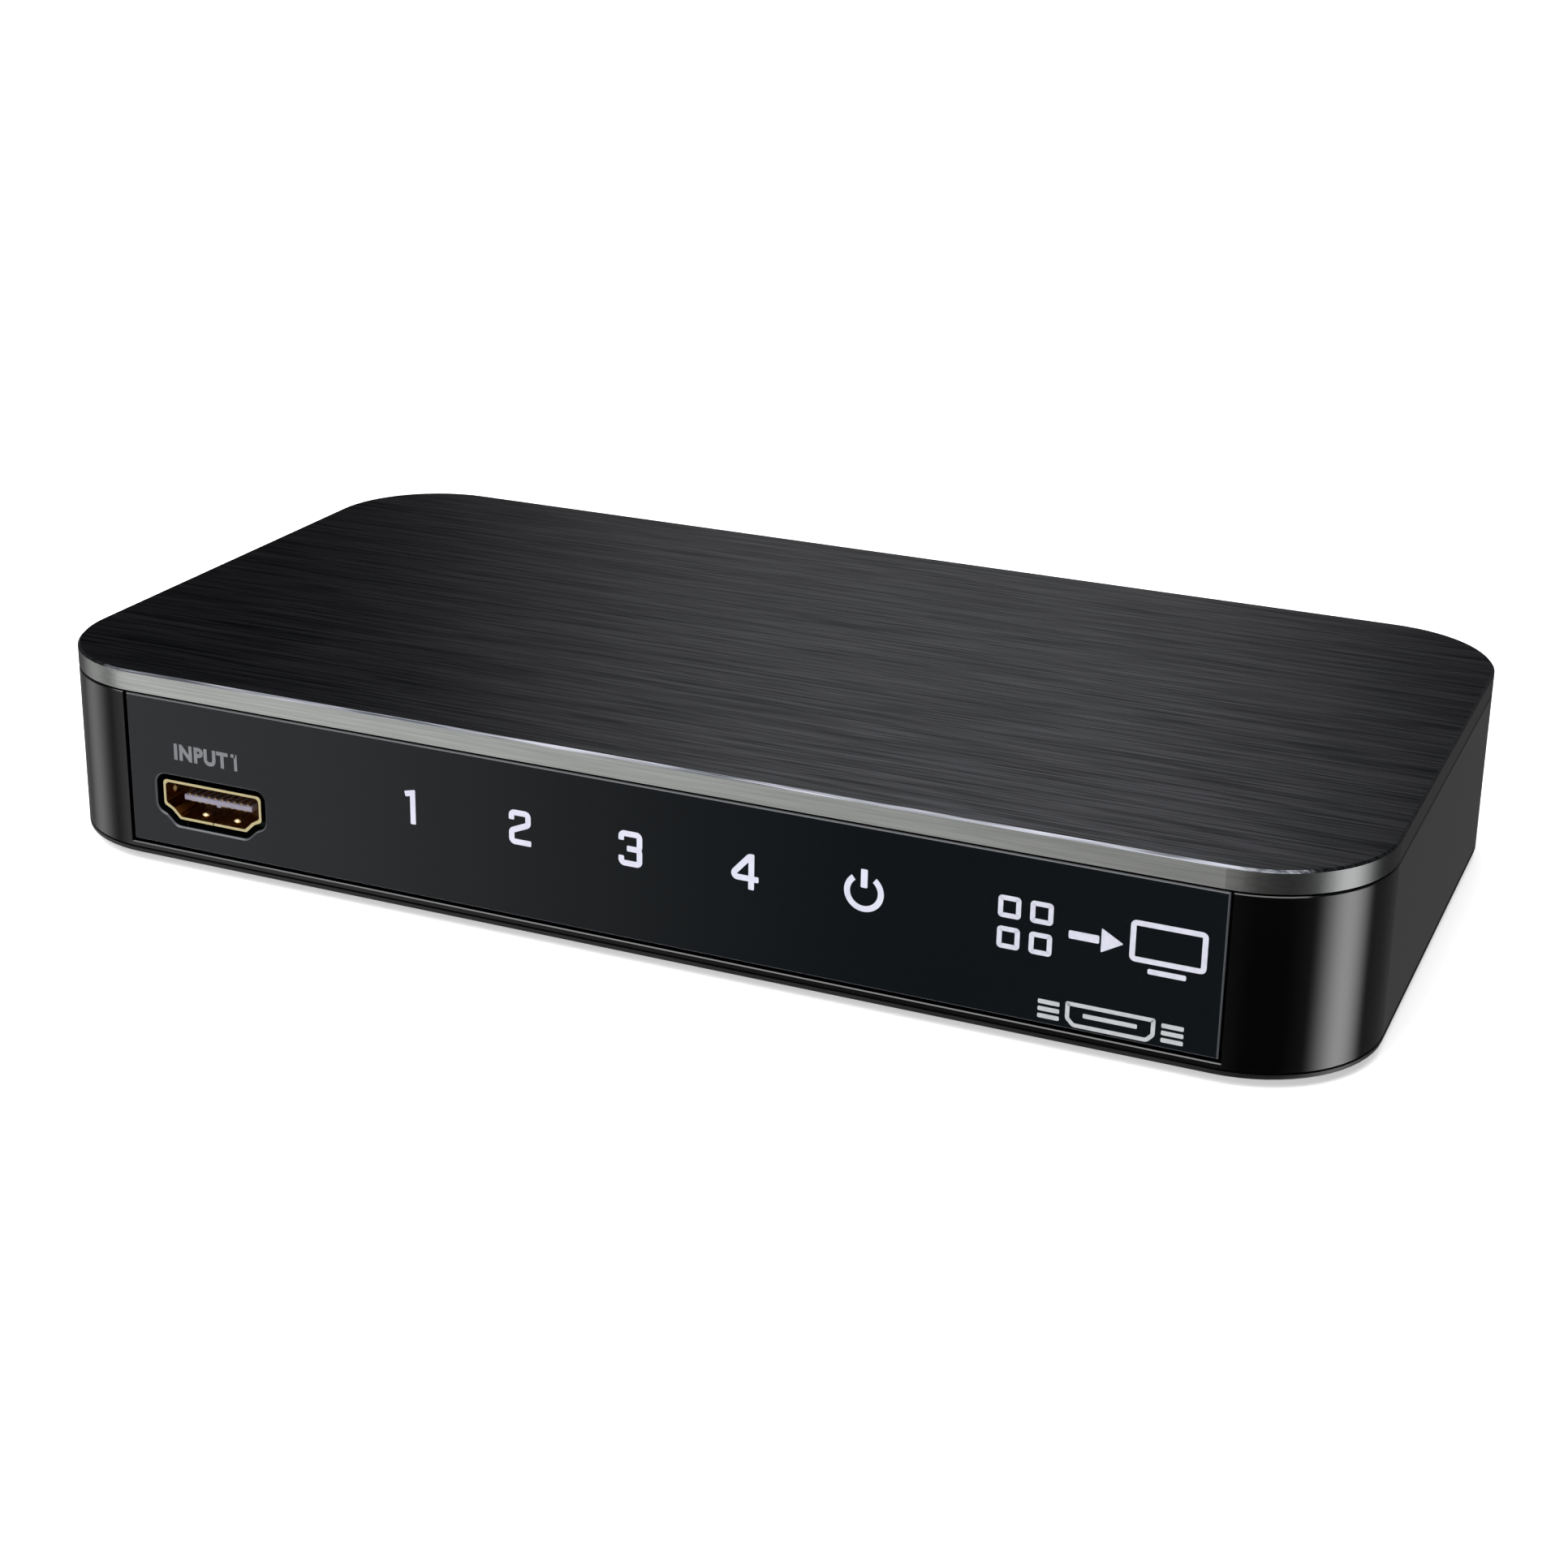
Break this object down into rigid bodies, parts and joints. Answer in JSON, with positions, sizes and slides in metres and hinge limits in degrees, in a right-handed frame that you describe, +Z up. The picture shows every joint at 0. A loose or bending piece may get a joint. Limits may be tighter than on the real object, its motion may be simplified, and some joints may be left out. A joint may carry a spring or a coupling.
{
  "type": "video switch box",
  "caption": "Low box with rounded corners that routes one of several digital video inputs to a single output; touch icons on a gloss front.",
  "frame": {"origin": "middle of the footprint, on the surface the feet rest on", "axes": "+X to the right seen from the front, +Y to the rear, +Z up"},
  "size_m": [0.177, 0.093, 0.0267],
  "materials": {
    "brushed_top": "black anodised, brushed along the width",
    "case_black": "black ABS, satin gloss",
    "base_black": "black ABS, fine grain",
    "panel_gloss": "smoked acrylic, polished",
    "rear_black": "black ABS, fine grain",
    "tape": "black foam tape",
    "icon_white": "translucent white polycarbonate",
    "gold_sheet": "gold plated sheet",
    "gold_contact": "gold plated strip",
    "tongue": "moulded nylon, light grey",
    "jack_black": "black nylon",
    "pin_metal": "nickel plated",
    "screw_steel": "zinc plated steel",
    "rubber_foot": "matt black rubber",
    "label": "matt silver polyester film",
    "board": "green solder mask",
    "chip_black": "black epoxy",
    "sink": "plain extruded",
    "pad": "soft silicone",
    "ferrite": "ferrite",
    "can_metal": "plain can",
    "ceramic": "fired ceramic",
    "resistor": "fired ceramic with glass coat",
    "led": "white diode package",
    "guide": "clear acrylic rod",
    "connector_white": "natural nylon",
    "touch_foam": "conductive foam",
    "ribbon": "white film"
  },
  "bodies": {
    "root": {"base_cover": "base_black", "board_screws": "screw_steel", "case_screws": "screw_steel", "ceramic_capacitors": "ceramic", "controller_chip": "chip_black", "crystal": "can_metal", "dc_jack_housing": "jack_black", "dc_jack_pin": "pin_metal", "dc_jack_spring": "pin_metal", "electrolytic_capacitors": "can_metal", "foot_front_left": "rubber_foot", "foot_front_right": "rubber_foot", "foot_rear_left": "rubber_foot", "foot_rear_right": "rubber_foot", "front_adhesive": "tape", "front_panel": "panel_gloss", "heat_sink": "sink", "icon_1": "icon_white", "icon_2": "icon_white", "icon_3": "icon_white", "icon_4": "icon_white", "icon_power": "icon_white", "infrared_receiver": "chip_black", "input_1_contacts": "gold_contact", "input_1_insulator": "tongue", "input_1_shell": "gold_sheet", "input_2_contacts": "gold_contact", "input_2_insulator": "tongue", "input_2_shell": "gold_sheet", "input_3_contacts": "gold_contact", "input_3_insulator": "tongue", "input_3_shell": "gold_sheet", "input_4_contacts": "gold_contact", "input_4_insulator": "tongue", "input_4_shell": "gold_sheet", "light_guides": "guide", "main_board": "board", "main_ribbon_socket": "connector_white", "output_contacts": "gold_contact", "output_insulator": "tongue", "output_shell": "gold_sheet", "power_inductor": "ferrite", "rating_label": "label", "rear_adhesive": "tape", "rear_panel": "rear_black", "regulator_chip": "chip_black", "resistors": "resistor", "ribbon_cable": "ribbon", "status_leds": "led", "surge_arrays": "chip_black", "switch_chip": "chip_black", "thermal_pad": "pad", "top_adhesive": "tape", "top_plate": "brushed_top", "touch_board": "board", "touch_ribbon_socket": "connector_white", "touch_rings": "touch_foam", "upper_case": "case_black"}
  },
  "joints": []
}
